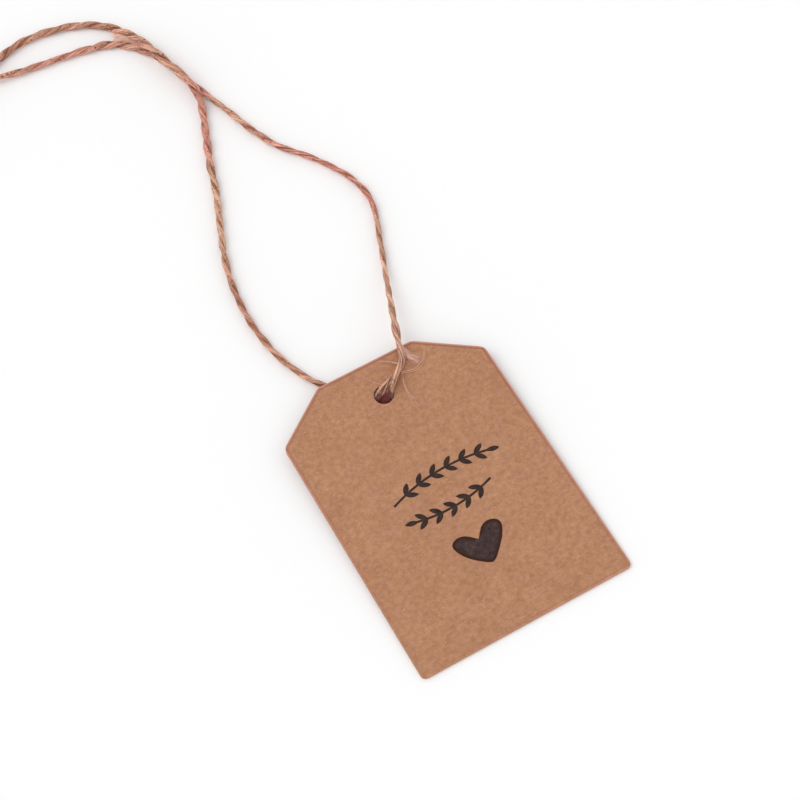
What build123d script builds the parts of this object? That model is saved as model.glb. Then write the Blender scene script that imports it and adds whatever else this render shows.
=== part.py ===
"""Gift tag: a punched kraft card on a knotted loop of jute twine, lying on a table.

Millimetres, +Z up. The card's lower edge stands on Z = 0 and its upper end leans on the twine
that passes under it. +Y runs up the card, and the origin is under the middle of the card.
"""

from build123d import *
import math
import os

# Card
CARD_WIDTH = 50.0
CARD_HEIGHT = 70.0
CARD_THICKNESS = 0.5
TOP_EDGE = 23.5
SHOULDER_DROP = 9.5
FOOT_CORNER_RADIUS = 1.2
SHOULDER_CORNER_RADIUS = 2.5
HOLE_DIAMETER = 4.5
HOLE_BELOW_TOP = 8.8

# Ink
INK_THICKNESS = 0.04
HEART_WIDTH = 11.7
HEART_HEIGHT = 8.8
HEART_ACROSS = 0.5
HEART_ABOVE_FOOT = 15.3
STEM_WIDTH = 0.5
LEAF_LENGTH = 3.0
LEAF_WIDTH = 1.15
LEAF_SPREAD = 38.0
LEAF_FIRST = 0.14
LEAF_LAST = 0.86
LEAF_AT_END = 0.97
UPPER_SPRIG = [(-11.2, 36.6), (1.0, 39.3), (13.0, 38.2)]
UPPER_LEAF_PAIRS = 6
LOWER_SPRIG = [(9.8, 32.3), (0.4, 30.4), (-9.0, 31.2)]
LOWER_LEAF_PAIRS = 5

# Twine
TWINE_DIAMETER = 1.7
CARD_CLEARANCE = 0.12

# Knot: turns of twine drawn tight round the strands
KNOT_DIAMETER = 6.4
KNOT_LENGTH = 5.0
KNOT_TURNS = 3
TURN_DEPTH = 0.7
KNOT_X = -49.5
KNOT_Y = 155.4

# Centre lines of the twine, from the hole to the knot and from the knot to the two cut ends
FRONT_STRAND = [
    (0.0, 26.2, 2.1),
    (1.4, 26.9, 3.35),
    (4.0, 28.5, 3.45),
    (6.0, 29.75, 3.45),
    (7.6, 31.3, 3.5),
    (8.4, 33.6, 3.6),
    (9.2, 36.4, 3.65),
    (10.3, 39.6, 3.55),
    (11.7, 43.2, 3.3),
    (13.2, 47.2, 2.7),
    (15.0, 52.0, 1.8),
    (17.0, 57.0, 1.1),
    (19.3, 63.0, 0.85),
    (21.8, 69.2, 0.85),
    (23.3, 75.1, 0.85),
    (22.2, 81.7, 0.85),
    (19.4, 87.6, 0.85),
    (15.8, 93.4, 0.85),
    (11.3, 98.9, 0.85),
    (8.4, 106.4, 0.85),
    (6.2, 114.2, 0.85),
    (4.0, 121.1, 0.85),
    (1.8, 128.3, 0.85),
    (-0.3, 136.0, 0.85),
    (-3.4, 142.3, 0.85),
    (-8.0, 147.4, 0.85),
    (-14.8, 149.2, 0.85),
    (-22.6, 150.4, 0.85),
    (-30.6, 151.2, 0.85),
    (-38.2, 152.5, 1.4),
    (-44.6, 154.45, 3.2),
    (-47.0, 154.45, 3.2),
]
BACK_STRAND = [
    (0.0, 26.2, 2.1),
    (-1.4, 25.5, 0.85),
    (-3.6, 26.0, 0.85),
    (-5.8, 28.9, 0.85),
    (-8.0, 33.0, 0.85),
    (-12.2, 39.2, 0.85),
    (-15.1, 46.9, 0.85),
    (-16.4, 55.7, 0.85),
    (-16.2, 64.6, 0.85),
    (-14.5, 74.6, 0.85),
    (-10.9, 84.4, 0.85),
    (-7.2, 93.5, 0.85),
    (-4.5, 102.7, 0.85),
    (-1.6, 110.6, 0.85),
    (0.7, 116.6, 0.9),
    (2.2, 121.6, 1.7),
    (1.7, 126.6, 2.65),
    (0.3, 131.6, 2.65),
    (-1.0, 137.0, 2.7),
    (-2.4, 142.2, 2.55),
    (-4.2, 148.5, 0.9),
    (-9.3, 155.1, 0.85),
    (-16.4, 158.5, 0.85),
    (-24.4, 160.0, 0.85),
    (-32.4, 159.2, 0.85),
    (-38.9, 157.0, 1.5),
    (-44.6, 156.35, 3.2),
    (-47.0, 156.35, 3.2),
]
FRONT_TAIL = [
    (-52.0, 154.45, 3.2),
    (-54.4, 154.45, 3.2),
    (-58.6, 153.2, 2.0),
    (-62.8, 151.2, 1.0),
    (-67.2, 149.9, 0.85),
]
BACK_TAIL = [
    (-52.0, 156.35, 3.2),
    (-54.4, 156.35, 3.2),
    (-58.5, 157.7, 2.0),
    (-62.4, 160.3, 1.05),
    (-65.6, 163.8, 0.85),
]

HOLE_HEIGHT = CARD_HEIGHT - HOLE_BELOW_TOP
CARD_LEAN = math.degrees(math.asin((TWINE_DIAMETER + CARD_CLEARANCE) / HOLE_HEIGHT))


def lean_on_twine(shape):
    """Move a shape from the flat card, foot at Y = 0, back at Z = 0, to the leaning card."""
    lean = math.radians(CARD_LEAN)
    middle = (CARD_HEIGHT * math.cos(lean) - CARD_THICKNESS * math.sin(lean)) / 2
    return Pos(0, -middle, 0) * Rot(X=CARD_LEAN) * shape


def make_card():
    """The die-cut board with its sloping shoulders and punched hole."""
    half = CARD_WIDTH / 2
    shoulder = CARD_HEIGHT - SHOULDER_DROP
    outline = Polyline(
        (-half, 0),
        (half, 0),
        (half, shoulder),
        (TOP_EDGE / 2, CARD_HEIGHT),
        (-TOP_EDGE / 2, CARD_HEIGHT),
        (-half, shoulder),
        close=True,
    )
    face = make_face(outline)
    feet = [corner for corner in face.vertices() if corner.Y < shoulder / 2]
    face = fillet(feet, FOOT_CORNER_RADIUS)
    shoulders = [corner for corner in face.vertices() if corner.Y > shoulder / 2]
    face = fillet(shoulders, SHOULDER_CORNER_RADIUS)
    face -= Pos(0, HOLE_HEIGHT) * Circle(HOLE_DIAMETER / 2)
    return extrude(face, CARD_THICKNESS)


def make_ink(drawing):
    """A flat drawing printed on the card's face."""
    return Pos(0, 0, CARD_THICKNESS) * extrude(drawing, INK_THICKNESS)


def make_heart():
    """A hand-drawn heart: its right lobe stands a little higher than its left one."""

    def point(across, up):
        return (HEART_ACROSS + across * HEART_WIDTH, HEART_ABOVE_FOOT + up * HEART_HEIGHT)

    tip = point(0.0, 0.0)
    notch = point(-0.015, 0.665)
    left = Spline(
        tip,
        point(-0.145, 0.11),
        point(-0.3, 0.295),
        point(-0.455, 0.6),
        point(-0.48, 0.83),
        point(-0.32, 0.945),
        point(-0.1, 0.8),
        notch,
        tangents=[(-1, 0.25), (1, -0.9)],
    )
    right = Spline(
        tip,
        point(0.145, 0.12),
        point(0.3, 0.33),
        point(0.46, 0.61),
        point(0.5, 0.85),
        point(0.34, 0.995),
        point(0.13, 0.89),
        notch,
        tangents=[(1, 0.25), (-1, -0.7)],
    )
    return make_face(left + right)


def make_leaf():
    """A pointed leaf from the origin along +X."""
    middle = LEAF_LENGTH / 2
    tip = (LEAF_LENGTH, 0)
    upper = ThreePointArc((0, 0), (middle, LEAF_WIDTH / 2), tip)
    lower = ThreePointArc(tip, (middle, -LEAF_WIDTH / 2), (0, 0))
    return make_face(upper + lower)


def make_sprig(points, pairs):
    """A stem along an arc, with pairs of leaves along it and one leaf at its end."""
    stem = ThreePointArc(*points)
    sprig = trace(stem, STEM_WIDTH)

    def leaf_at(share, turn):
        heading = stem % share
        angle = math.degrees(math.atan2(heading.Y, heading.X))
        return Pos(stem @ share) * Rot(Z=angle + turn) * make_leaf()

    sprig += leaf_at(LEAF_AT_END, 0.0)
    step = (LEAF_LAST - LEAF_FIRST) / (pairs - 1)
    for index in range(pairs):
        for side in (LEAF_SPREAD, -LEAF_SPREAD):
            sprig += leaf_at(LEAF_FIRST + index * step, side)
    return sprig


def arc_radius(before, corner, after):
    """The largest tangent arc that leaves each of its two runs a tenth of the shorter one."""
    run_in = Vector(corner) - Vector(before)
    run_out = Vector(after) - Vector(corner)
    half_turn = math.radians(run_in.get_angle(run_out) / 2)
    return 0.45 * min(run_in.length, run_out.length) / math.tan(half_turn)


def make_twine(name, points):
    """A round tube along straight runs joined by tangent arcs."""
    radii = [arc_radius(*points[i : i + 3]) for i in range(len(points) - 2)]
    path = FilletPolyline(*points, radius=radii)
    section = Plane(origin=path @ 0, z_dir=path % 0) * Circle(TWINE_DIAMETER / 2)
    tube = sweep(section, path)
    expected = math.pi * TWINE_DIAMETER**2 / 4 * path.length
    print(name, "radii", [round(radius, 1) for radius in radii])
    print(name, "length", round(path.length, 1), "volume ratio", round(tube.volume / expected, 4))
    return tube


def make_knot():
    """Three tight turns of twine round the two strands, their axis along X."""
    crest = KNOT_DIAMETER / 2
    valley = crest - TURN_DEPTH
    turn = KNOT_LENGTH / KNOT_TURNS
    outline = Polyline((KNOT_LENGTH, valley), (KNOT_LENGTH, 0), (0, 0), (0, valley))
    for index in range(KNOT_TURNS):
        start = index * turn
        outline += ThreePointArc((start, valley), (start + turn / 2, crest), (start + turn, valley))
    solid = revolve(make_face(outline), Axis.X)
    return Pos(KNOT_X - KNOT_LENGTH / 2, KNOT_Y, crest) * solid


nodes = {
    "card": lean_on_twine(make_card()),
    "heart_print": lean_on_twine(make_ink(make_heart())),
    "upper_sprig_print": lean_on_twine(make_ink(make_sprig(UPPER_SPRIG, UPPER_LEAF_PAIRS))),
    "lower_sprig_print": lean_on_twine(make_ink(make_sprig(LOWER_SPRIG, LOWER_LEAF_PAIRS))),
    "front_strand": make_twine("front_strand", FRONT_STRAND),
    "back_strand": make_twine("back_strand", BACK_STRAND),
    "knot": make_knot(),
    "front_tail": make_twine("front_tail", FRONT_TAIL),
    "back_tail": make_twine("back_tail", BACK_TAIL),
}

os.makedirs("parts", exist_ok=True)
for node, shape in nodes.items():
    export_step(shape, f"parts/{node}.step")
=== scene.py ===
"""The gift tag's looks: twisted jute twine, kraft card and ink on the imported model, with light and camera.

Metres, in the model's own frame: the card's foot stands on Z = 0 and +Y runs up the card.
"""

import bmesh
import bpy
import math
import random
from mathutils import Matrix, Vector, noise
from mathutils.geometry import intersect_point_line


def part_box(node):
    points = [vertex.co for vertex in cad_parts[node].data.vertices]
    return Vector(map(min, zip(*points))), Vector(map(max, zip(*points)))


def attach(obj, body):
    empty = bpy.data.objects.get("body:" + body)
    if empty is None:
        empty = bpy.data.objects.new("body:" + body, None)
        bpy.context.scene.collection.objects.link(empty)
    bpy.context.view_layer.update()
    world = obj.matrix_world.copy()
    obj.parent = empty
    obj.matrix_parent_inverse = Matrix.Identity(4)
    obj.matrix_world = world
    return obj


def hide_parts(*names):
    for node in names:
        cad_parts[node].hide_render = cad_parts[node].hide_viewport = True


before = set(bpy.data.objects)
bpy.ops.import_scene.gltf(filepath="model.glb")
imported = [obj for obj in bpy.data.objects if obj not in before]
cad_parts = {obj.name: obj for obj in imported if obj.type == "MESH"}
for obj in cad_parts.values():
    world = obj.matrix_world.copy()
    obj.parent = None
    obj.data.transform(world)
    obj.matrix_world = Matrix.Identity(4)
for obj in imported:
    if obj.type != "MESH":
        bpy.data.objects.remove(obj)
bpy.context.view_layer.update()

# Camera, fitted to the card's corners in the photograph
CAMERA_TARGET = Vector((0.0029128, 0.0244613, 0.0))
CAMERA_DISTANCE = 0.437337
CAMERA_AZIMUTH = -0.42137
CAMERA_ELEVATION = 1.05551
CAMERA_ROLL = -0.10304
CAMERA_LENS = 90.0
CAMERA_SENSOR = 36.0

# Twine: two plies that turn round each other
TWINE_DIAMETER = 0.0017
PLY_RADIUS = 0.00055
PLY_OFFSET = 0.0003
PLY_SEEDS = (1.0, 9.0)
PLY_LUMPS = 0.22
LUMPS_PER_METRE = 170.0
APART_SWING = 0.45
APART_PER_METRE = 75.0
APART_SEED = 3.0
WAIST = 0.0002
LAY_LENGTH = 0.0115
LAY_START = 0.5
LAY_WANDER = 1.5
WANDER_PER_METRE = 45.0
SLACK_LENGTH = 0.005
TWINE_STEP = 0.0003
ROUTE_RESOLUTION = 32
ROUTE_ORDER = 3
FIRST_SIDE = Vector((0.0, 1.0, 0.0))
FLOOR_CLEARANCE = 0.00002
FRONT_SEED = 4.0
BACK_SEED = 9.0
KNOT_SEED = 23.0
CHANCE_SEED = 4

# Painted shade on the twine in the hole: one ply comes out of it early and the other late
HOLE_SHADE_SIDE = 0.7
HOLE_SHADE_NARROWNESS = 3
HOLE_SHADE_EARLY = -0.0004
HOLE_SHADE_LATE = 0.0017
HOLE_SHADE_FADE = 0.002
HOLE_SHADE_END = 0.0048
HOLE_SHADE_MARK = 1.2

# Body of the twine
# The core's tone is darker than the yarns': painted shade where it shows in the gaps between them
CORE_SHADE = 0.35
CORE_SIDES = 32
CORE_GRAIN_PER_METRE = 130.0
THREADS_ROUND = 3.4
THREADS_PER_METRE = 240.0
THREAD_SWING = 0.06

# Yarns: thin bundles of fibres on the twine's surface
YARN_COUNT = 34
YARN_JITTER = 0.4
YARN_RADIUS = 0.00009
YARN_SIZES = (0.65, 1.25)
YARN_SIDES = 5
YARN_STRIDE = 2
YARN_FLATNESS = 1.3
YARN_TURN = 0.75
YARN_WANDER = 0.7
YARN_WANDERS_PER_METRE = 60.0
YARN_BRIDGE = 0.15
YARN_LIFT = 0.6
YARN_LIFTS_PER_METRE = 90.0
YARN_LIFT_SEED = 3.0
YARN_FULLNESS = 0.8
YARN_THINNEST = 0.3
YARN_ENDS_PER_METRE = 55.0
YARN_END_SEED = 7.0
# How much of the painted shade in the grooves the yarns get
YARN_GROOVE_SHADE = 0.9
YARN_PALENESS = (0.1, 0.9)
YARN_SHADE = 0.45
YARN_SHADES_PER_METRE = 240.0
YARN_SHADE_SEED = 5.0
YARN_SEEDS = (0.0, 90.0)
YARN_GRAIN_ACROSS = 0.2
YARN_GRAIN_PER_METRE = 260.0
PLY_TINT = 0.2

# Single fibres: the fuzz along the twine and the tuft at a cut end
FIBRE_MARKS = (-1.0, 1.0, 0.4)
FIBRE_RADIUS = 0.00003
FIBRE_SIDES = 4
FIBRE_POINTS = 7
FIBRE_TAPER = 0.65
FIBRE_SEEDS = (0.0, 9.0)
FIBRE_GRAIN_ACROSS = 0.37
FIBRE_GRAIN_STEP = 0.05
FIBRE_FIRST_SIDE = Vector((0.3, 0.5, 0.8))
FUZZ_PER_METRE = 900
FUZZ_MARGIN = 4
FUZZ_BEND = 0.16
FUZZ_LIFT = (0.1, 0.5)
FUZZ_LENGTH = (0.0008, 0.0022)
FUZZ_SIZES = (0.6, 1.2)
TUFT_COUNT = 26
TUFT_START = (0.2, 1.5)
TUFT_BEND = 0.06
TUFT_LIFT = (0.0, 0.5)
TUFT_LENGTH = (0.0008, 0.0024)
TUFT_SIZE = 1.3

# Knot
KNOT_TURNS = 3
KNOT_POINTS = 12
KNOT_TUCK = 0.4

# Twine routes: from the hole to the knot, then from the knot to the cut end
FRONT_ROUTE = [
    (0.0, 0.0262, 0.0021),
    (0.0014, 0.0269, 0.00335),
    (0.004, 0.0285, 0.00345),
    (0.006, 0.02975, 0.00345),
    (0.0076, 0.0313, 0.0035),
    (0.0084, 0.0336, 0.0036),
    (0.0092, 0.0364, 0.00365),
    (0.0103, 0.0396, 0.00355),
    (0.0117, 0.0432, 0.0033),
    (0.0132, 0.0472, 0.0027),
    (0.015, 0.052, 0.0018),
    (0.017, 0.057, 0.0011),
    (0.0193, 0.063, 0.00085),
    (0.0218, 0.0692, 0.00085),
    (0.0233, 0.0751, 0.00085),
    (0.0222, 0.0817, 0.00085),
    (0.0194, 0.0876, 0.00085),
    (0.0158, 0.0934, 0.00085),
    (0.0113, 0.0989, 0.00085),
    (0.0084, 0.1064, 0.00085),
    (0.0062, 0.1142, 0.00085),
    (0.004, 0.1211, 0.00085),
    (0.0018, 0.1283, 0.00085),
    (-0.0003, 0.136, 0.00085),
    (-0.0034, 0.1423, 0.00085),
    (-0.008, 0.1474, 0.00085),
    (-0.0148, 0.1492, 0.00085),
    (-0.0226, 0.1504, 0.00085),
    (-0.0306, 0.1512, 0.00085),
    (-0.0382, 0.1525, 0.0014),
    (-0.0446, 0.15445, 0.0032),
    (-0.047, 0.15445, 0.0032),
    (-0.052, 0.15445, 0.0032),
    (-0.0544, 0.15445, 0.0032),
    (-0.0586, 0.1532, 0.002),
    (-0.0628, 0.1512, 0.001),
    (-0.0672, 0.1499, 0.00085),
]
BACK_ROUTE = [
    (0.0, 0.0262, 0.0021),
    (-0.0014, 0.0255, 0.00085),
    (-0.0036, 0.026, 0.00085),
    (-0.0058, 0.0289, 0.00085),
    (-0.008, 0.033, 0.00085),
    (-0.0122, 0.0392, 0.00085),
    (-0.0151, 0.0469, 0.00085),
    (-0.0164, 0.0557, 0.00085),
    (-0.0162, 0.0646, 0.00085),
    (-0.0145, 0.0746, 0.00085),
    (-0.0109, 0.0844, 0.00085),
    (-0.0072, 0.0935, 0.00085),
    (-0.0045, 0.1027, 0.00085),
    (-0.0016, 0.1106, 0.00085),
    (0.0007, 0.1166, 0.0009),
    (0.0022, 0.1216, 0.0017),
    (0.0017, 0.1266, 0.00265),
    (0.0003, 0.1316, 0.00265),
    (-0.001, 0.137, 0.0027),
    (-0.0024, 0.1422, 0.00255),
    (-0.0042, 0.1485, 0.0009),
    (-0.0093, 0.1551, 0.00085),
    (-0.0164, 0.1585, 0.00085),
    (-0.0244, 0.16, 0.00085),
    (-0.0316, 0.1593, 0.00085),
    (-0.0346, 0.1577, 0.00095),
    (-0.0389, 0.157, 0.0016),
    (-0.0446, 0.15635, 0.0032),
    (-0.047, 0.15635, 0.0032),
    (-0.052, 0.15635, 0.0032),
    (-0.0544, 0.15635, 0.0032),
    (-0.0585, 0.1577, 0.002),
    (-0.0624, 0.1603, 0.00105),
    (-0.0656, 0.1638, 0.00085),
]

# Along each route, as pairs of distance from the hole and value: the twine's size, how far its plies part,
# how much paler its yarns are, and how far their hue goes from tan, 0, to reddish, 1
FRONT_LOOK = {
    "size": [
        (0.0, 1.05),
        (0.006, 0.86),
        (0.011, 0.74),
        (0.016, 0.96),
        (0.024, 0.82),
        (0.034, 0.72),
        (0.07, 0.76),
        (0.095, 0.86),
        (0.125, 0.94),
        (0.132, 1.15),
        (0.136, 1.1),
        (0.142, 1.0),
        (0.15, 0.97),
    ],
    "spread": [
        (0.0, 3.6),
        (0.0012, 3.3),
        (0.0028, 1.5),
        (0.006, 1.1),
        (0.01, 0.8),
        (0.016, 1.3),
        (0.022, 1.0),
        (0.124, 1.0),
        (0.131, 1.2),
        (0.138, 1.2),
        (0.146, 0.8),
    ],
    "pale": [
        (0.0, 0.45),
        (0.014, 0.2),
        (0.035, 0.15),
        (0.045, 0.1),
        (0.055, -0.1),
        (0.08, -0.1),
        (0.09, 0.15),
        (0.108, 0.1),
        (0.115, 0.0),
        (0.135, 0.12),
    ],
    "warm": [
        (0.0, 0.1),
        (0.046, 0.1),
        (0.055, 1.0),
        (0.08, 1.0),
        (0.09, 0.5),
        (0.104, 0.4),
        (0.11, 0.9),
        (0.118, 0.5),
        (0.135, 0.6),
        (0.148, 0.65),
        (0.154, 0.9),
        (0.16, 0.5),
    ],
}
BACK_LOOK = {
    "size": [(0.0, 1.05), (0.01, 0.8), (0.05, 0.83), (0.085, 1.05), (0.132, 1.15), (0.142, 1.1)],
    "spread": [
        (0.0, 3.6),
        (0.002, 3.4),
        (0.006, 1.0),
        (0.122, 1.0),
        (0.13, 1.2),
        (0.137, 1.2),
        (0.145, 0.8),
    ],
    "pale": [
        (0.0, -0.1),
        (0.048, -0.1),
        (0.056, 0.05),
        (0.065, 0.25),
        (0.078, 0.35),
        (0.085, 0.1),
        (0.1, 0.1),
        (0.11, -0.05),
        (0.118, 0.15),
        (0.138, 0.12),
        (0.148, 0.02),
    ],
    "warm": [
        (0.0, 0.3),
        (0.05, 0.4),
        (0.058, 0.1),
        (0.082, 0.1),
        (0.088, 0.95),
        (0.108, 0.95),
        (0.115, 0.2),
        (0.13, 0.4),
        (0.138, 0.2),
        (0.15, 0.35),
    ],
}
KNOT_LOOK = {"size": [(0.0, 1.0)], "spread": [(0.0, 1.0)], "pale": [(0.0, 0.2)], "warm": [(0.0, 0.5)]}

# Loose fibres on the card and between the strands: how many lie together, how thick each is, and the points
# that they follow
LOOSE_FIBRES = [
    (
        24,
        0.00007,
        [
            (0.0088, 0.0362, 0.0039),
            (0.009, 0.0333, 0.0031),
            (0.0097, 0.0311, 0.00275),
            (0.0108, 0.0294, 0.0027),
        ],
    ),
    (
        16,
        0.00007,
        [
            (0.0085, 0.0345, 0.0037),
            (0.0086, 0.0324, 0.003),
            (0.0091, 0.0309, 0.00275),
            (0.01, 0.0297, 0.0027),
        ],
    ),
    (
        3,
        0.00004,
        [
            (0.006, 0.0288, 0.003),
            (0.008, 0.0278, 0.0027),
            (0.0104, 0.0281, 0.00265),
            (0.0124, 0.0292, 0.00275),
            (0.0135, 0.0312, 0.00285),
        ],
    ),
    (
        3,
        0.00004,
        [
            (0.0062, 0.0293, 0.003),
            (0.0051, 0.0278, 0.00265),
            (0.0046, 0.0256, 0.00255),
            (0.0043, 0.0233, 0.0025),
            (0.005, 0.0205, 0.00245),
        ],
    ),
    (
        2,
        0.00003,
        [
            (0.0012, 0.0277, 0.003),
            (-0.0001, 0.0291, 0.0027),
            (-0.0014, 0.0315, 0.00265),
            (-0.0031, 0.0341, 0.00275),
        ],
    ),
    (
        3,
        0.00004,
        [
            (0.0066, 0.0304, 0.0033),
            (0.0057, 0.0317, 0.003),
            (0.0045, 0.0329, 0.00275),
            (0.003, 0.0335, 0.00275),
        ],
    ),
    (
        16,
        0.00008,
        [
            (-0.0075, 0.1506, 0.0009),
            (-0.0067, 0.1488, 0.001),
            (-0.0056, 0.1469, 0.0011),
            (-0.0044, 0.1449, 0.0012),
            (-0.0034, 0.1424, 0.0015),
        ],
    ),
    (
        14,
        0.00008,
        [
            (-0.0062, 0.1492, 0.001),
            (-0.0052, 0.1474, 0.0011),
            (-0.0042, 0.1453, 0.0013),
            (-0.0033, 0.1426, 0.0016),
        ],
    ),
    (
        12,
        0.00008,
        [
            (-0.0088, 0.1478, 0.001),
            (-0.0071, 0.148, 0.0011),
            (-0.0056, 0.1475, 0.0012),
            (-0.0044, 0.1461, 0.0013),
            (-0.0035, 0.1438, 0.0016),
        ],
    ),
]
LOOSE_STEP = 0.0004
LOOSE_DRIFT = 0.0002
LOOSE_SPREAD = 0.7
LOOSE_SIZES = (0.7, 1.3)

# Card outline and hole, for the darker rim that the die leaves and the painted shade on the hole's wall
SHOULDER_DROP = 0.0095
TOP_EDGE = 0.0235
HOLE_CENTRE = (0.0, 0.026188)

# Tones, as screen values from 0 to 255
BOARD_DARK = (175, 126, 92)
BOARD_PALE = (185, 136, 101)
BOARD_PINK = (180, 127, 104)
PULP_PALE = (214, 172, 142)
PULP_DARK = (146, 98, 70)
RIM_TONE = (156, 88, 74)
RUBBED_TONE = (212, 164, 156)
CUT_TONE = (190, 142, 122)
# Painted shade on the hole's wall
HOLE_WALL_SHADE_TONE = (100, 54, 42)
TAN_DARK = (157, 108, 78)
RED_DARK = (184, 103, 86)
TAN_PALE = (236, 192, 163)
RED_PALE = (246, 180, 163)
FLECK_TONE = (104, 54, 32)
# Painted shade in the grooves between the plies
GROOVE_SHADE_TONE = (108, 60, 38)
# Painted shade on the twine in the hole
HOLE_SHADE_TONE = (112, 40, 44)
FIBRE_TONE = (248, 208, 190)
HEART_TONE = (60, 44, 43)
HEART_WORN_TONE = (92, 70, 62)
HEART_RIM_TONE = (53, 25, 14)
SPRIG_TONE = (48, 34, 30)
SPRIG_WORN_TONE = (96, 66, 52)

# Mottling: what the darkest and palest spots of board and ink multiply their colour by
MOTTLE_DARK = (0.82, 0.77, 0.72, 1.0)
MOTTLE_PALE = (1.18, 1.23, 1.28, 1.0)
INK_DARK = (0.5, 0.42, 0.38, 1.0)
INK_PALE = (1.5, 1.58, 1.62, 1.0)

# Noise: scale, detail, roughness and distortion
CLOUD_NOISE = (0.12, 3.0, 0.6)
MOTTLE_NOISE = (0.85, 3.0, 0.7)
GRAIN_NOISE = (4.5, 3.0, 0.6)
HUE_NOISE = (0.55, 2.0, 0.6)
PULP_NOISE = (1.0, 1.0, 0.4, 0.6)
INK_GRAIN_NOISE = (2.4, 4.0, 0.65)
INK_MOTTLE_NOISE = (0.9, 3.0, 0.7)
STREAK_NOISE = (2.6, 3.0, 0.65)
STRETCH_NOISE = (0.22, 2.0, 0.5)
FLECK_NOISE = (1.3, 2.0, 0.6)
SPOT_NOISE = (1.4, 1.0, 0.5)

# Shifts that keep one noise from following another
HUE_SHIFT = (31.0, 17.0, 5.0)
INK_MOTTLE_SHIFT = (13.0, 29.0, 3.0)
STRETCH_SHIFT = (7.0, 3.0, 41.0)
FLECK_SHIFT = (19.0, 5.0, 11.0)

# Ranges: the stretch of a value from low to high, and what it becomes from low to high
CLOUD_RANGE = (0.3, 0.7, 0.0, 1.0)
HUE_RANGE = (0.35, 0.65, 0.0, 0.5)
MOTTLE_RANGE = (0.25, 0.75, 0.0, 1.0)
GRAIN_RANGE = (0.25, 0.75, 0.96, 1.04)
RIM_START_RANGE = (0.25, 0.5, 0.0, 1.0)
RIM_END_RANGE = (0.6, 0.95, 1.0, 0.0)
RUBBED_RANGE = (0.05, 0.45, 1.1, 0.0)
# Strength of the dark rim and the pale band at the edge: greater towards the top, and greater to the right
# as painted shade
RIM_FOOT_TO_TOP = (0.15, 0.65)
RIM_SHADE_LEFT_TO_RIGHT = (-0.12, 0.15)
CUT_RANGE = (0.4, 0.8, 1.0, 0.0)
# Painted shade on the hole's wall
HOLE_WALL_SHADE_RANGE = (2.4, 2.6, 1.0, 0.0)
BOARD_ROUGHNESS = (0.3, 0.7, 0.8, 0.95)
INK_WORN_RANGE = (0.5, 0.7, 0.0, 0.5)
INK_MOTTLE_RANGE = (0.3, 0.7, 0.0, 1.0)
INK_ROUGHNESS = (0.3, 0.7, 0.7, 0.9)
STRETCH_RANGE = (0.38, 0.62, -0.3, 0.3)
STREAK_RANGE = (0.33, 0.67, 0.72, 1.28)
FLECK_RANGE = (0.58, 0.7, 0.0, 0.7)
SPOT_RANGE = (0.62, 0.72, 0.0, 0.85)
# Painted shade in the grooves between the plies, broken up by the flecks' noise
GROOVE_SHADE_RANGE = (0.12, 0.36, 0.0, 0.95)
GROOVE_SHADE_BREAK_RANGE = (0.42, 0.56, 0.15, 1.0)
# Painted shade on the twine in the hole
HOLE_SHADE_RANGE = (0.7, 1.2, 0.0, 0.9)
FIBRE_RANGE = (-1.0, 0.0, 0.65, 0.0)
JUTE_ROUGHNESS = (0.3, 0.7, 0.7, 0.9)

# Pulp fibres in the board: angle and seed of each set, how rare they are and how much they show
PALE_PULP = ((24.0, 3.0), (78.0, 11.0), (131.0, 19.0))
PALE_PULP_FROM = 0.7
PALE_PULP_SHARE = 0.4
DARK_PULP = ((52.0, 31.0), (105.0, 43.0), (163.0, 57.0))
DARK_PULP_FROM = 0.71
DARK_PULP_SHARE = 0.35
PULP_STRETCH = (0.7, 4.0, 1.0)
PULP_SEED_RATIO = 0.7
PULP_SOFTNESS = 0.06

# Bump, as strength and depth, and gloss
BOARD_BUMP = (0.2, 0.00008)
INK_BUMP = (0.15, 0.00005)
JUTE_BUMP = (0.5, 0.00006)
PAPER_SPECULAR = 0.25
JUTE_SPECULAR = 0.3
JUTE_SHEEN = 0.15

# Ink rim of the heart: how far it is dark, and where it ends
RIM_DARK = 0.00045
RIM_END = 0.00088
HEART_RINGS = (1.0, 0.97, 0.94, 0.91, 0.88, 0.84, 0.78, 0.6, 0.3)
INK_THICKNESS = 0.00004
MERGE_DISTANCE = 0.000001
FACING_UP = 0.9

# Light: a sky that is brighter at its sides than overhead, and one broad lamp
SKY_SIDE = 1.2
SKY_SIDE_HEIGHT = 0.35
SKY_TOP = 0.42
SKY_TOP_HEIGHT = 0.95
KEY_FROM = Vector((-0.55, 0.35, 0.8))
KEY_SPREAD = 50.0
KEY_STRENGTH = 0.9
FLOOR_SIZE = 6.0
FLOOR_COLOUR = (0.99, 0.99, 0.99, 1.0)
FLOOR_LIFT = 0.012
WHITE = (1.0, 1.0, 1.0, 1.0)
MILLIMETRES = 1000.0


def tone(red, green, blue):
    """A linear colour from its 0 to 255 screen values."""

    def linear(value):
        share = value / 255
        return share / 12.92 if share <= 0.04045 else ((share + 0.055) / 1.055) ** 2.4

    return (linear(red), linear(green), linear(blue), 1.0)


def between(pairs, place):
    """The value at a place, from pairs of place and value in rising order."""
    for (start, low), (end, high) in zip(pairs, pairs[1:]):
        if place < end:
            share = max(0.0, (place - start) / (end - start))
            return low + (high - low) * share
    return pairs[-1][1]


def ripple(*place):
    """Smooth noise at up to three numbers, about -1 to 1."""
    return noise.noise(Vector((place + (0.0, 0.0))[:3]))


# Shader helpers


def new_material(name):
    """A material with a Principled shader, its node tree and that shader."""
    material = bpy.data.materials.new(name)
    material.use_nodes = True
    tree = material.node_tree
    return material, tree, tree.nodes["Principled BSDF"]


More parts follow.
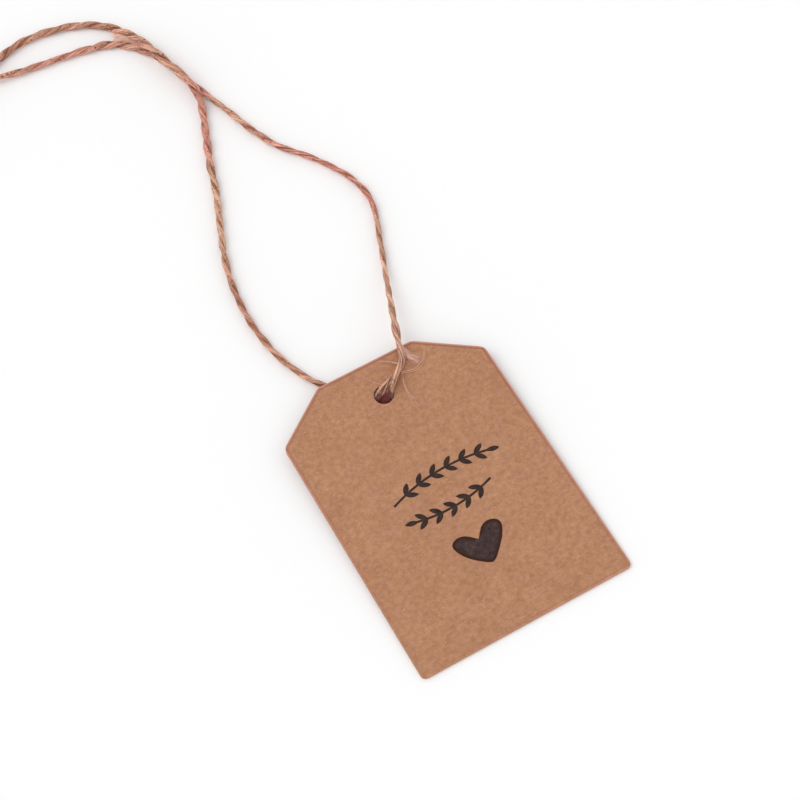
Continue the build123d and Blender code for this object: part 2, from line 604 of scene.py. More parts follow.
def add_node(tree, kind, settings=None, inputs=None):
    """A shader node with its settings; an input is a value or another node's output."""
    node = tree.nodes.new(kind)
    for key, value in (settings or {}).items():
        setattr(node, key, value)
    for key, value in (inputs or {}).items():
        if isinstance(value, bpy.types.NodeSocket):
            tree.links.new(value, node.inputs[key])
        else:
            node.inputs[key].default_value = value
    return node


def add_noise(tree, vector, scale, detail, roughness, distortion=0.0):
    """The value of a noise texture at a vector."""
    inputs = {"Vector": vector, "Scale": scale, "Detail": detail}
    inputs["Roughness"] = roughness
    inputs["Distortion"] = distortion
    return add_node(tree, "ShaderNodeTexNoise", None, inputs).outputs["Fac"]


def add_range(tree, value, low, high, new_low, new_high):
    """A value's stretch from low to high, clamped and spread from new_low to new_high."""
    inputs = {"Value": value, "From Min": low, "From Max": high}
    inputs["To Min"] = new_low
    inputs["To Max"] = new_high
    return add_node(tree, "ShaderNodeMapRange", None, inputs).outputs["Result"]


def add_math(tree, operation, first, second):
    """Two values combined."""
    inputs = {0: first, 1: second}
    return add_node(tree, "ShaderNodeMath", {"operation": operation}, inputs).outputs[0]


def add_mix(tree, share, first, second, blend="MIX"):
    """Two colours mixed."""
    node = add_node(tree, "ShaderNodeMix", {"data_type": "RGBA", "blend_type": blend})
    for socket, value in (("Factor_Float", share), ("A_Color", first), ("B_Color", second)):
        target = next(entry for entry in node.inputs if entry.identifier == socket)
        if isinstance(value, bpy.types.NodeSocket):
            tree.links.new(value, target)
        else:
            target.default_value = value
    return next(entry for entry in node.outputs if entry.identifier == "Result_Color")


def add_grey(tree, value):
    """A value as a grey colour."""
    inputs = {"Red": value, "Green": value, "Blue": value}
    return add_node(tree, "ShaderNodeCombineColor", None, inputs).outputs["Color"]


def multiply(tree, colour, factor):
    """A colour multiplied by another."""
    return add_mix(tree, 1.0, colour, factor, "MULTIPLY")


def add_bump(tree, height, strength, distance):
    """A normal from a height."""
    inputs = {"Height": height, "Strength": strength, "Distance": distance}
    return add_node(tree, "ShaderNodeBump", None, inputs).outputs["Normal"]


def add_attribute(tree, name, output):
    """A value that the mesh carries at its points."""
    return add_node(tree, "ShaderNodeAttribute", {"attribute_name": name}).outputs[output]


def add_millimetres(tree):
    """The place on an object, in millimetres."""
    place = add_node(tree, "ShaderNodeTexCoord").outputs["Object"]
    inputs = {0: place, "Scale": MILLIMETRES}
    return add_node(tree, "ShaderNodeVectorMath", {"operation": "SCALE"}, inputs).outputs[0]


def add_shift(tree, vector, shift):
    """A vector moved by a fixed shift."""
    inputs = {0: vector, 1: shift}
    return add_node(tree, "ShaderNodeVectorMath", {"operation": "ADD"}, inputs).outputs[0]


def add_split(tree, vector):
    """A vector's X, Y and Z."""
    return add_node(tree, "ShaderNodeSeparateXYZ", None, {"Vector": vector}).outputs


def add_fibre_marks(tree, place, angle, seed, start):
    """Short fibres that lie one way in the paper: 1 on a fibre and 0 elsewhere."""
    inputs = {"Vector": place, "Location": (seed, seed * PULP_SEED_RATIO, 0.0)}
    inputs["Rotation"] = (0.0, 0.0, math.radians(angle))
    inputs["Scale"] = PULP_STRETCH
    stretched = add_node(tree, "ShaderNodeMapping", None, inputs).outputs["Vector"]
    lines = add_noise(tree, stretched, *PULP_NOISE)
    return add_range(tree, lines, start, start + PULP_SOFTNESS, 0.0, 1.0)


def add_pulp(tree, place, sets, start):
    """Short fibres in several directions."""
    marks = [add_fibre_marks(tree, place, angle, seed, start) for angle, seed in sets]
    found = marks[0]
    for mark in marks[1:]:
        found = add_math(tree, "MAXIMUM", found, mark)
    return found


def add_hole_distance(tree, place):
    """The distance in millimetres from a place on the card to the middle of its hole."""
    parts = add_split(tree, place)
    beside = add_math(tree, "SUBTRACT", parts["X"], HOLE_CENTRE[0] * MILLIMETRES)
    above = add_math(tree, "SUBTRACT", parts["Y"], HOLE_CENTRE[1] * MILLIMETRES)
    square = add_math(
        tree,
        "ADD",
        add_math(tree, "MULTIPLY", beside, beside),
        add_math(tree, "MULTIPLY", above, above),
    )
    return add_math(tree, "SQRT", square, 0.0)


def add_edge_distance(tree, place):
    """The distance in millimetres from a place on the card to its outline."""
    low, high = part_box("card")
    half = high.x * MILLIMETRES
    foot = low.y * MILLIMETRES
    top = high.y * MILLIMETRES
    parts = add_split(tree, place)
    inset = add_math(tree, "SUBTRACT", half, add_math(tree, "ABSOLUTE", parts["X"], 0.0))
    drop = SHOULDER_DROP * MILLIMETRES
    run = half - TOP_EDGE / 2 * MILLIMETRES
    slope = math.hypot(drop, run)
    below = add_math(tree, "SUBTRACT", top - drop, parts["Y"])
    slant = add_math(
        tree,
        "ADD",
        add_math(tree, "MULTIPLY", inset, drop / slope),
        add_math(tree, "MULTIPLY", below, run / slope),
    )
    distance = add_math(tree, "MINIMUM", inset, slant)
    distance = add_math(tree, "MINIMUM", distance, add_math(tree, "SUBTRACT", parts["Y"], foot))
    return add_math(tree, "MINIMUM", distance, add_math(tree, "SUBTRACT", top, parts["Y"]))


# Materials


def make_kraft():
    """Brown kraft board: mottled pulp, pale and dark fibres, a darker rim, painted darker to the right as
    shade, cut edges, and painted shade on the hole's wall.
    """
    material, tree, shader = new_material("kraft_board")
    place = add_millimetres(tree)
    cloud = add_noise(tree, place, *CLOUD_NOISE)
    mottle = add_noise(tree, place, *MOTTLE_NOISE)
    grain = add_noise(tree, place, *GRAIN_NOISE)
    hue = add_noise(tree, add_shift(tree, place, HUE_SHIFT), *HUE_NOISE)
    colour = add_mix(tree, add_range(tree, cloud, *CLOUD_RANGE), tone(*BOARD_DARK), tone(*BOARD_PALE))
    colour = add_mix(tree, add_range(tree, hue, *HUE_RANGE), colour, tone(*BOARD_PINK))
    spots = add_mix(tree, add_range(tree, mottle, *MOTTLE_RANGE), MOTTLE_DARK, MOTTLE_PALE)
    colour = multiply(tree, colour, spots)
    colour = multiply(tree, colour, add_grey(tree, add_range(tree, grain, *GRAIN_RANGE)))
    pale = add_pulp(tree, place, PALE_PULP, PALE_PULP_FROM)
    dark = add_pulp(tree, place, DARK_PULP, DARK_PULP_FROM)
    colour = add_mix(tree, add_math(tree, "MULTIPLY", pale, PALE_PULP_SHARE), colour, tone(*PULP_PALE))
    colour = add_mix(tree, add_math(tree, "MULTIPLY", dark, DARK_PULP_SHARE), colour, tone(*PULP_DARK))
    low, high = [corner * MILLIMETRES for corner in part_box("card")]
    parts = add_split(tree, place)
    # Strength of the dark rim and the pale band: greater towards the top, and greater to the right as
    # painted shade
    worn = add_math(
        tree,
        "ADD",
        add_range(tree, parts["Y"], low.y, high.y, *RIM_FOOT_TO_TOP),
        add_range(tree, parts["X"], low.x, high.x, *RIM_SHADE_LEFT_TO_RIGHT),
    )
    inset = add_edge_distance(tree, place)
    rim_start = add_range(tree, inset, *RIM_START_RANGE)
    rim_end = add_range(tree, inset, *RIM_END_RANGE)
    rim = add_math(tree, "MULTIPLY", add_math(tree, "MINIMUM", rim_start, rim_end), worn)
    colour = add_mix(tree, rim, colour, tone(*RIM_TONE))
    rubbed = add_math(tree, "MULTIPLY", add_range(tree, inset, *RUBBED_RANGE), worn)
    colour = add_mix(tree, rubbed, colour, tone(*RUBBED_TONE))
    normal = add_node(tree, "ShaderNodeNewGeometry").outputs["True Normal"]
    level = add_math(tree, "ABSOLUTE", add_split(tree, normal)["Z"], 0.0)
    # Painted shade on the hole's wall, darker than the outer cut edges
    wall = add_range(tree, add_hole_distance(tree, place), *HOLE_WALL_SHADE_RANGE)
    cut = add_mix(tree, wall, tone(*CUT_TONE), tone(*HOLE_WALL_SHADE_TONE))
    colour = add_mix(tree, add_range(tree, level, *CUT_RANGE), colour, cut)
    tree.links.new(colour, shader.inputs["Base Color"])
    tree.links.new(add_range(tree, grain, *BOARD_ROUGHNESS), shader.inputs["Roughness"])
    tree.links.new(add_bump(tree, mottle, *BOARD_BUMP), shader.inputs["Normal"])
    shader.inputs["Specular IOR Level"].default_value = PAPER_SPECULAR
    return material


def make_ink(name, dark, worn, rim=None):
    """Matt ink that lets a little of the board through; a rim tone goes where the mesh marks one."""
    material, tree, shader = new_material(name)
    place = add_millimetres(tree)
    grain = add_noise(tree, place, *INK_GRAIN_NOISE)
    mottle = add_noise(tree, add_shift(tree, place, INK_MOTTLE_SHIFT), *INK_MOTTLE_NOISE)
    colour = add_mix(tree, add_range(tree, grain, *INK_WORN_RANGE), tone(*dark), tone(*worn))
    spots = add_mix(tree, add_range(tree, mottle, *INK_MOTTLE_RANGE), INK_DARK, INK_PALE)
    colour = multiply(tree, colour, spots)
    if rim:
        colour = add_mix(tree, add_attribute(tree, "rim", "Fac"), colour, tone(*rim))
    tree.links.new(colour, shader.inputs["Base Color"])
    tree.links.new(add_range(tree, grain, *INK_ROUGHNESS), shader.inputs["Roughness"])
    tree.links.new(add_bump(tree, grain, *INK_BUMP), shader.inputs["Normal"])
    shader.inputs["Specular IOR Level"].default_value = PAPER_SPECULAR
    return material


def make_jute():
    """Jute: pale and dark yarns, tan and reddish stretches, streaks and flecks, with painted shade in the
    grooves between the plies and on the twine in the hole.
    """
    material, tree, shader = new_material("jute")
    grain = add_attribute(tree, "grain", "Vector")
    marks = add_split(tree, add_attribute(tree, "marks", "Vector"))
    groove = marks["X"]
    streak = add_noise(tree, grain, *STREAK_NOISE)
    stretch = add_noise(tree, add_shift(tree, grain, STRETCH_SHIFT), *STRETCH_NOISE)
    fleck = add_noise(tree, add_shift(tree, grain, FLECK_SHIFT), *FLECK_NOISE)
    warm = add_math(tree, "ADD", marks["Z"], add_range(tree, stretch, *STRETCH_RANGE))
    low = add_mix(tree, warm, tone(*TAN_DARK), tone(*RED_DARK))
    high = add_mix(tree, warm, tone(*TAN_PALE), tone(*RED_PALE))
    colour = add_mix(tree, marks["Y"], low, high)
    colour = multiply(tree, colour, add_grey(tree, add_range(tree, streak, *STREAK_RANGE)))
    spot = add_noise(tree, add_millimetres(tree), *SPOT_NOISE)
    dark = add_range(tree, fleck, *FLECK_RANGE)
    dark = add_math(tree, "MAXIMUM", dark, add_range(tree, spot, *SPOT_RANGE))
    colour = add_mix(tree, dark, colour, tone(*FLECK_TONE))
    # Painted shade in the grooves between the plies
    deep = add_range(tree, groove, *GROOVE_SHADE_RANGE)
    deep = add_math(tree, "MULTIPLY", deep, add_range(tree, fleck, *GROOVE_SHADE_BREAK_RANGE))
    colour = add_mix(tree, deep, colour, tone(*GROOVE_SHADE_TONE))
    # Painted shade on the twine in the hole
    colour = add_mix(tree, add_range(tree, groove, *HOLE_SHADE_RANGE), colour, tone(*HOLE_SHADE_TONE))
    colour = add_mix(tree, add_range(tree, groove, *FIBRE_RANGE), colour, tone(*FIBRE_TONE))
    tree.links.new(colour, shader.inputs["Base Color"])
    tree.links.new(add_range(tree, streak, *JUTE_ROUGHNESS), shader.inputs["Roughness"])
    tree.links.new(add_bump(tree, streak, *JUTE_BUMP), shader.inputs["Normal"])
    shader.inputs["Specular IOR Level"].default_value = JUTE_SPECULAR
    shader.inputs["Sheen Weight"].default_value = JUTE_SHEEN
    return material


# Twine


class Strands:
    """Tubes gathered into one mesh, with the marks that the jute's shader reads."""

    def __init__(self):
        self.points = []
        self.faces = []
        self.grain = []
        self.marks = []

    def add_tube(self, rings, grain, marks):
        """A closed tube through rings of equal count; a mark is a point's groove, shade and warmth."""
        sides = len(rings[0])
        first = len(self.points)
        for store, rows in ((self.points, rings), (self.grain, grain), (self.marks, marks)):
            for row in rows:
                store.extend(row)
        for row in range(len(rings) - 1):
            low = first + row * sides
            high = low + sides
            for side in range(sides):
                following = (side + 1) % sides
                self.faces.append((low + side, low + following, high + following, high + side))
        last = first + (len(rings) - 1) * sides
        self.faces.append(tuple(first + side for side in reversed(range(sides))))
        self.faces.append(tuple(last + side for side in range(sides)))

    def make(self, name, material):
        """The mesh as a smooth piece that rides on the twine."""
        mesh = bpy.data.meshes.new(name)
        mesh.from_pydata(self.points, [], self.faces)
        for label, store in (("grain", self.grain), ("marks", self.marks)):
            attribute = mesh.attributes.new(label, "FLOAT_VECTOR", "POINT")
            attribute.data.foreach_set("vector", [value for vector in store for value in vector])
        mesh.shade_smooth()
        mesh.materials.append(material)
        piece = bpy.data.objects.new(name, mesh)
        bpy.context.scene.collection.objects.link(piece)
        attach(piece, "twine")
        return piece


def read_route(name, route):
    """Points along the smooth spline that has the route as its control points."""
    curve = bpy.data.curves.new(name, "CURVE")
    curve.dimensions = "3D"
    curve.resolution_u = ROUTE_RESOLUTION
    spline = curve.splines.new("NURBS")
    spline.points.add(len(route) - 1)
    for control, point in zip(spline.points, route):
        control.co = (*point, 1.0)
    spline.order_u = ROUTE_ORDER
    spline.use_endpoint_u = True
    holder = bpy.data.objects.new(name, curve)
    mesh = bpy.data.meshes.new_from_object(holder)
    line = [vertex.co.copy() for vertex in mesh.vertices]
    bpy.data.objects.remove(holder)
    bpy.data.curves.remove(curve)
    bpy.data.meshes.remove(mesh)
    return line


def even_steps(line, step):
    """Points of a line at even steps along it, and their distances from its start."""
    points = [line[0].copy()]
    places = [0.0]
    passed = 0.0
    for start, end in zip(line, line[1:]):
        run = (end - start).length
        while places[-1] + step <= passed + run:
            place = places[-1] + step
            points.append(start.lerp(end, (place - passed) / run))
            places.append(place)
        passed += run
    return points, places


def sides_along(points, first_side):
    """The heading at each point, and a side direction that turns as little as it can."""
    headings = []
    for index in range(len(points)):
        before = points[max(index - 1, 0)]
        after = points[min(index + 1, len(points) - 1)]
        headings.append((after - before).normalized())
    sides = []
    side = first_side
    for heading in headings:
        side = (side - heading * side.dot(heading)).normalized()
        sides.append(side)
    return headings, sides


class Lay:
    """The twine's middle line, and the outline of its two plies, which turns and swells along it.

    Its way is 1 where the line goes up out of the hole, -1 where it goes down and 0 for other lines.
    """

    def __init__(self, name, route, look, way, seed):
        self.points, self.places = even_steps(read_route(name, route), TWINE_STEP)
        self.headings, self.sides = sides_along(self.points, FIRST_SIDE)
        self.look = look
        self.way = way
        self.seed = seed

    def outward(self, index, angle):
        """The direction away from the line at an angle round it."""
        side = self.sides[index]
        return side * math.cos(angle) + self.headings[index].cross(side) * math.sin(angle)

    def turn(self, place):
        """How far the plies have turned: slack at the hole, left-handed and uneven."""
        turned = place - SLACK_LENGTH * (1.0 - math.exp(-place / SLACK_LENGTH))
        wander = LAY_WANDER * ripple(turned * WANDER_PER_METRE, self.seed)
        return self.way * LAY_START - math.tau * turned / LAY_LENGTH + wander

    def reach(self, place, angle):
        """The distance from the line to the plies' surface, and to the outermost point at that place."""
        bearing = angle - self.turn(place)
        size = between(self.look["size"], place)
        apart = PLY_OFFSET * between(self.look["spread"], place)
        apart *= 1.0 + APART_SWING * ripple(place * APART_PER_METRE, self.seed + APART_SEED)
        ply = PLY_SEEDS[0] if math.cos(bearing) > 0 else PLY_SEEDS[1]
        radius = PLY_RADIUS * (1.0 + PLY_LUMPS * ripple(place * LUMPS_PER_METRE, self.seed + ply))
        chord = radius**2 - (apart * math.sin(bearing)) ** 2
        surface = apart * abs(math.cos(bearing)) + math.sqrt(max(chord, 0.0))
        return size * max(surface, WAIST), size * (apart + radius)

    def hole_shade(self, place, angle):
        """How deep the twine is in the hole, for the shade painted on it there: 1 under it and 0 outside;
        one ply comes out earlier.
        """
        if not self.way:
            return 0.0
        bearing = angle - self.turn(place) - self.way * HOLE_SHADE_SIDE
        early = max(0.0, math.cos(bearing)) ** HOLE_SHADE_NARROWNESS
        edge = HOLE_SHADE_LATE + (HOLE_SHADE_EARLY - HOLE_SHADE_LATE) * early
        depth = min(edge - self.way * place, HOLE_SHADE_END - place) / HOLE_SHADE_FADE
        return min(1.0, max(0.0, depth))


def above_floor(spot, clearance):
    """A spot, lifted to the floor where it is lower."""
    spot.z = max(spot.z, clearance)
    return spot


def add_core(strands, lay):
    """The body of the twine, two plies pressed together."""
    rings = []
    grain = []
    marks = []
    for index, (point, place) in enumerate(zip(lay.points, lay.places)):
        # The core's tone is darker than the yarns': painted shade where it shows in the gaps between them
        shade = CORE_SHADE + between(lay.look["pale"], place)
        warm = between(lay.look["warm"], place)
        ring = []
        ring_grain = []
        ring_marks = []
        for step in range(CORE_SIDES):
            angle = math.tau * step / CORE_SIDES
            reach, outermost = lay.reach(place, angle)
            mark = Vector((math.cos(angle), math.sin(angle), place * CORE_GRAIN_PER_METRE + lay.seed))
            along = place * THREADS_PER_METRE + lay.seed
            thread = ripple(mark.x * THREADS_ROUND, mark.y * THREADS_ROUND, along)
            spot = point + lay.outward(index, angle) * reach * (1.0 + THREAD_SWING * thread)
            ring.append(above_floor(spot, FLOOR_CLEARANCE))
            ring_grain.append(mark)
            # The groove mark carries painted shade between the plies and, with the hole mark, painted shade
            # in the hole
            groove = 1.0 - reach / outermost + HOLE_SHADE_MARK * lay.hole_shade(place, angle)
            ring_marks.append((groove, shade, warm))
        rings.append(ring)
        grain.append(ring_grain)
        marks.append(ring_marks)
    strands.add_tube(rings, grain, marks)


def add_yarn(strands, lay, base, chance):
    """A thin bundle of fibres on the twine's surface, which thins where its fibres end."""
    seed = chance.uniform(*YARN_SEEDS)
    pale = chance.uniform(*YARN_PALENESS)
    width = YARN_RADIUS * chance.uniform(*YARN_SIZES)
    rings = []
    grain = []
    marks = []
    for index in range(0, len(lay.points), YARN_STRIDE):
        place = lay.places[index]
        wander = YARN_WANDER * ripple(place * YARN_WANDERS_PER_METRE, seed)
        angle = base + YARN_TURN * lay.turn(place) + wander
        reach, outermost = lay.reach(place, angle)
        bridged = reach + (outermost - reach) * YARN_BRIDGE
        outward = lay.outward(index, angle)
        across = lay.headings[index].cross(outward)
        fullness = YARN_FULLNESS + ripple(place * YARN_ENDS_PER_METRE, seed + YARN_END_SEED)
        radius = width * min(1.0, max(YARN_THINNEST, fullness))
        lift = radius * YARN_LIFT * ripple(place * YARN_LIFTS_PER_METRE, seed + YARN_LIFT_SEED)
        middle = lay.points[index] + outward * (bridged + lift)
        ring = []
        ring_grain = []
        for step in range(YARN_SIDES):
            high = math.cos(math.tau * step / YARN_SIDES)
            wide = math.sin(math.tau * step / YARN_SIDES)
            spot = middle + (outward * high + across * YARN_FLATNESS * wide) * radius
            ring.append(above_floor(spot, FLOOR_CLEARANCE))
            ring_grain.append((seed, high * YARN_GRAIN_ACROSS, place * YARN_GRAIN_PER_METRE))
        rings.append(ring)
        grain.append(ring_grain)
        # The groove mark carries painted shade between the plies and, with the hole mark, painted shade in
        # the hole
        groove = YARN_GROOVE_SHADE * (1.0 - reach / outermost) + HOLE_SHADE_MARK * lay.hole_shade(place, angle)
        shade = pale + between(lay.look["pale"], place)
        shade += YARN_SHADE * ripple(place * YARN_SHADES_PER_METRE, seed + YARN_SHADE_SEED)
        shade += PLY_TINT * math.cos(angle - lay.turn(place))
        marks.append([(groove, shade, between(lay.look["warm"], place))] * YARN_SIDES)
    strands.add_tube(rings, grain, marks)


def add_yarns(strands, lay, chance):
    """Yarns all round the twine."""
    for number in range(YARN_COUNT):
        base = math.tau * (number + chance.uniform(-YARN_JITTER, YARN_JITTER)) / YARN_COUNT
        add_yarn(strands, lay, base, chance)


def add_fibre(strands, points, radius, seed):
    """A single loose fibre that thins towards its end."""
    headings, sides = sides_along(points, FIBRE_FIRST_SIDE)
    rings = []
    grain = []
    for index, (point, heading, side) in enumerate(zip(points, headings, sides)):
        thin = radius * (1.0 - FIBRE_TAPER * index / (len(points) - 1))
        ring = []
        for step in range(FIBRE_SIDES):
            angle = math.tau * step / FIBRE_SIDES
            spot = point + (side * math.cos(angle) + heading.cross(side) * math.sin(angle)) * thin
            ring.append(above_floor(spot, FLOOR_CLEARANCE))
        rings.append(ring)
        mark = (seed, seed * FIBRE_GRAIN_ACROSS, index * FIBRE_GRAIN_STEP)
        grain.append([mark] * FIBRE_SIDES)
    strands.add_tube(rings, grain, [[FIBRE_MARKS] * FIBRE_SIDES] * len(rings))


def stray(start, heading, lift, bend, length):
    """Points of a fibre that leaves along a heading, lifts off and bends."""
    points = [start]
    direction = (heading + lift).normalized()
    run = length / (FIBRE_POINTS - 1)
    for _ in range(FIBRE_POINTS - 1):
        direction = (direction + bend).normalized()
        points.append(above_floor(points[-1] + direction * run, FIBRE_RADIUS + FLOOR_CLEARANCE))
    return points


def add_fuzz(strands, lay, chance):
    """Short fibres along the twine, and a frayed tuft at its cut end."""
    for _ in range(int(FUZZ_PER_METRE * lay.places[-1])):
        index = chance.randrange(FUZZ_MARGIN, len(lay.points) - FUZZ_MARGIN)
        angle = chance.uniform(0.0, math.tau)
        heading = lay.headings[index] * chance.choice((-1.0, 1.0))
        outward = lay.outward(index, angle)
        start = lay.points[index] + outward * lay.reach(lay.places[index], angle)[0]
        bend = Vector([chance.gauss(0.0, FUZZ_BEND) for _ in range(3)])
        lift = outward * chance.uniform(*FUZZ_LIFT)
        length = chance.uniform(*FUZZ_LENGTH)
        radius = FIBRE_RADIUS * chance.uniform(*FUZZ_SIZES)
        seed = chance.uniform(*FIBRE_SEEDS)
        add_fibre(strands, stray(start, heading, lift, bend, length), radius, seed)
    for _ in range(TUFT_COUNT):
        angle = chance.uniform(0.0, math.tau)
        outward = lay.outward(-1, angle)
        start = lay.points[-1] + outward * PLY_RADIUS * chance.uniform(*TUFT_START)
        bend = Vector([chance.gauss(0.0, TUFT_BEND) for _ in range(3)])
        lift = outward * chance.uniform(*TUFT_LIFT)
        points = stray(start, lay.headings[-1], lift, bend, chance.uniform(*TUFT_LENGTH))
        add_fibre(strands, points, FIBRE_RADIUS * TUFT_SIZE, angle)


def add_loose_fibres(strands, chance):
    """Fibres that have come loose: over the card, and between the strands where they meet."""
    for count, radius, route in LOOSE_FIBRES:
        for _ in range(count):
            drift = Vector([chance.gauss(0.0, LOOSE_DRIFT), chance.gauss(0.0, LOOSE_DRIFT), 0.0])
            moved = []
            for number, point in enumerate(route):
                moved.append(Vector(point) + drift * (1.0 + LOOSE_SPREAD * number))
            points = even_steps(read_route("loose", moved), LOOSE_STEP)[0]
            size = radius * chance.uniform(*LOOSE_SIZES)
            add_fibre(strands, points, size, chance.uniform(*FIBRE_SEEDS))


def make_twine(name, lay, nodes, jute, chance, loose):
    """A length of two-ply twine from the hole to its cut end, and the yarns and fibres on it."""
    core = Strands()
    add_core(core, lay)
    twine = core.make(name, jute)
    surface = Strands()
    add_yarns(surface, lay, chance)
    add_fuzz(surface, lay, chance)
    if loose:
        add_loose_fibres(surface, chance)
    fibres = surface.make(f"{name}_fibres", jute)
    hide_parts(*nodes)


def make_knot(jute, chance):
    """Turns of twine drawn tight round both strands, their ends tucked into the middle."""
    low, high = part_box("knot")
    middle = (low + high) / 2
    radius = (high.y - low.y) / 2 - PLY_OFFSET - PLY_RADIUS
    reach = (high.x - low.x) / 2 - TWINE_DIAMETER / 2
    route = [(middle.x - reach * KNOT_TUCK, middle.y, middle.z)]
    count = KNOT_TURNS * KNOT_POINTS
    for index in range(count + 1):
        share = index / count
        angle = math.tau * KNOT_TURNS * share
        along = middle.x + reach * (2 * share - 1)
        route.append((along, middle.y + radius * math.cos(angle), middle.z + radius * math.sin(angle)))
    route.append((middle.x + reach * KNOT_TUCK, middle.y, middle.z))
    lay = Lay("knot_turns", route, KNOT_LOOK, 0, KNOT_SEED)
    strands = Strands()
    add_core(strands, lay)
    add_yarns(strands, lay, chance)
    knot = strands.make("knot_turns", jute)
    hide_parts("knot")


# Ink


def edge_distance(spot, outline):
    """The distance from a spot to the nearest edge of a closed outline."""
    nearest = []
    for start, end in zip(outline, outline[1:] + outline[:1]):
        share = intersect_point_line(spot, start, end)[1]
        clamped = start.lerp(end, min(1.0, max(0.0, share)))
        nearest.append((spot - clamped).length)
    return min(nearest)


def make_heart(material):
    """The printed heart, with rings of points inside its outline that carry the darker rim."""
    shape = bmesh.new()
    shape.from_mesh(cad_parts["heart_print"].data)
    bmesh.ops.remove_doubles(shape, verts=shape.verts, dist=MERGE_DISTANCE)
    tops = [face for face in shape.faces if face.normal.z > FACING_UP]
    top = bmesh.ops.dissolve_faces(shape, faces=tops)["region"][0]
    outline = [vertex.co.copy() for vertex in top.verts]
    down = -top.normal * INK_THICKNESS
    middle = top.calc_center_median()
    shape.free()
    count = len(outline)
    points = [point + down for point in outline]
    rim = [1.0] * count
    for share in HEART_RINGS:
        for point in outline:
            spot = middle.lerp(point, share)
            points.append(spot)
            fade = (RIM_END - edge_distance(spot, outline)) / (RIM_END - RIM_DARK)
            rim.append(min(1.0, max(0.0, fade)))
    points.append(middle)
    rim.append(0.0)
    faces = [tuple(reversed(range(count)))]
    for row in range(len(HEART_RINGS)):
        for step in range(count):
            following = (step + 1) % count
            low = row * count
            high = low + count
            faces.append((low + step, low + following, high + following, high + step))
    last = len(HEART_RINGS) * count
    for step in range(count):
        faces.append((last + step, last + (step + 1) % count, last + count))
    mesh = bpy.data.meshes.new("heart_ink_film")
    mesh.from_pydata(points, [], faces)
    mesh.attributes.new("rim", "FLOAT", "POINT").data.foreach_set("value", rim)
    mesh.materials.append(material)
    piece = bpy.data.objects.new("heart_ink_film", mesh)
    bpy.context.scene.collection.objects.link(piece)
    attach(piece, "card")
    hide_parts("heart_print")


def paint(node, material):
    """Gives a CAD node its material."""
    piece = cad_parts[node]
    piece.data.materials.clear()
    piece.data.materials.append(material)


# Stage


def add_seen(tree):
    """1 for rays that show a surface to the camera, straight or by gloss or glass, and 0 for others."""
    rays = add_node(tree, "ShaderNodeLightPath").outputs
    seen = add_math(tree, "MAXIMUM", rays["Is Camera Ray"], rays["Is Glossy Ray"])
    return add_math(tree, "MAXIMUM", seen, rays["Is Transmission Ray"])


def make_floor():
    """A plain white floor that keeps the tag's shadow."""
    mesh = bpy.data.meshes.new("floor")
    half = FLOOR_SIZE / 2
    corners = [(-half, -half, 0.0), (half, -half, 0.0), (half, half, 0.0), (-half, half, 0.0)]
    mesh.from_pydata(corners, [], [(0, 1, 2, 3)])
    material, tree, shader = new_material("floor")
    shader.inputs["Base Color"].default_value = FLOOR_COLOUR
    shader.inputs["Roughness"].default_value = 1.0
    shader.inputs["Specular IOR Level"].default_value = 0.0
    shader.inputs["Emission Color"].default_value = WHITE
    lift = add_math(tree, "MULTIPLY", add_seen(tree), FLOOR_LIFT)
    tree.links.new(lift, shader.inputs["Emission Strength"])
    mesh.materials.append(material)
    floor = bpy.data.objects.new("floor", mesh)
    bpy.context.scene.collection.objects.link(floor)


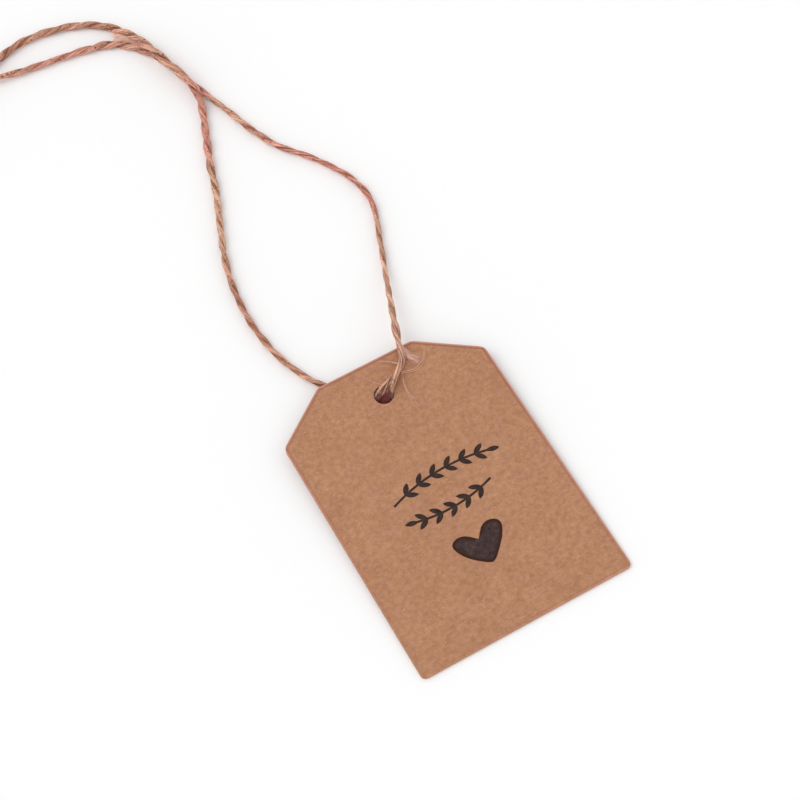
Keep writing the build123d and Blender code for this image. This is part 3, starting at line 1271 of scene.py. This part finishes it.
def make_light():
    """Soft light from all round, and one broad lamp."""
    world = bpy.data.worlds.new("studio")
    bpy.context.scene.world = world
    world.use_nodes = True
    tree = world.node_tree
    background = tree.nodes["Background"]
    background.inputs["Color"].default_value = WHITE
    height = add_split(tree, add_node(tree, "ShaderNodeTexCoord").outputs["Generated"])["Z"]
    sky = add_range(tree, height, SKY_SIDE_HEIGHT, SKY_TOP_HEIGHT, SKY_SIDE, SKY_TOP)
    strength = add_math(tree, "MAXIMUM", sky, add_seen(tree))
    tree.links.new(strength, background.inputs["Strength"])
    lamp = bpy.data.lights.new("key", "SUN")
    lamp.angle = math.radians(KEY_SPREAD)
    lamp.energy = KEY_STRENGTH
    key = bpy.data.objects.new("key", lamp)
    key.rotation_mode = "QUATERNION"
    key.rotation_quaternion = (-KEY_FROM).to_track_quat("-Z", "Y")
    bpy.context.scene.collection.objects.link(key)


def make_camera():
    """The photograph's camera."""
    level = math.cos(CAMERA_ELEVATION)
    back = Vector(
        (
            math.sin(CAMERA_AZIMUTH) * level,
            -math.cos(CAMERA_AZIMUTH) * level,
            math.sin(CAMERA_ELEVATION),
        )
    )
    right = Vector((math.cos(CAMERA_AZIMUTH), math.sin(CAMERA_AZIMUTH), 0.0))
    upright = Matrix((right, back.cross(right), back)).transposed()
    turned = upright @ Matrix.Rotation(CAMERA_ROLL, 3, "Z")
    data = bpy.data.cameras.new("camera")
    data.lens = CAMERA_LENS
    data.sensor_width = CAMERA_SENSOR
    camera = bpy.data.objects.new("camera", data)
    camera.matrix_world = Matrix.Translation(CAMERA_TARGET + back * CAMERA_DISTANCE) @ turned.to_4x4()
    bpy.context.scene.collection.objects.link(camera)
    bpy.context.scene.camera = camera


make_camera()
chance = random.Random(CHANCE_SEED)
jute = make_jute()
front = Lay("front_twine", FRONT_ROUTE, FRONT_LOOK, 1, FRONT_SEED)
back = Lay("back_twine", BACK_ROUTE, BACK_LOOK, -1, BACK_SEED)
make_twine("front_twine", front, ("front_strand", "front_tail"), jute, chance, True)
make_twine("back_twine", back, ("back_strand", "back_tail"), jute, chance, False)
make_knot(jute, chance)
paint("card", make_kraft())
make_heart(make_ink("heart_ink", HEART_TONE, HEART_WORN_TONE, HEART_RIM_TONE))
sprig_ink = make_ink("sprig_ink", SPRIG_TONE, SPRIG_WORN_TONE)
paint("upper_sprig_print", sprig_ink)
paint("lower_sprig_print", sprig_ink)
make_floor()
make_light()
bpy.context.scene.view_settings.view_transform = "Standard"
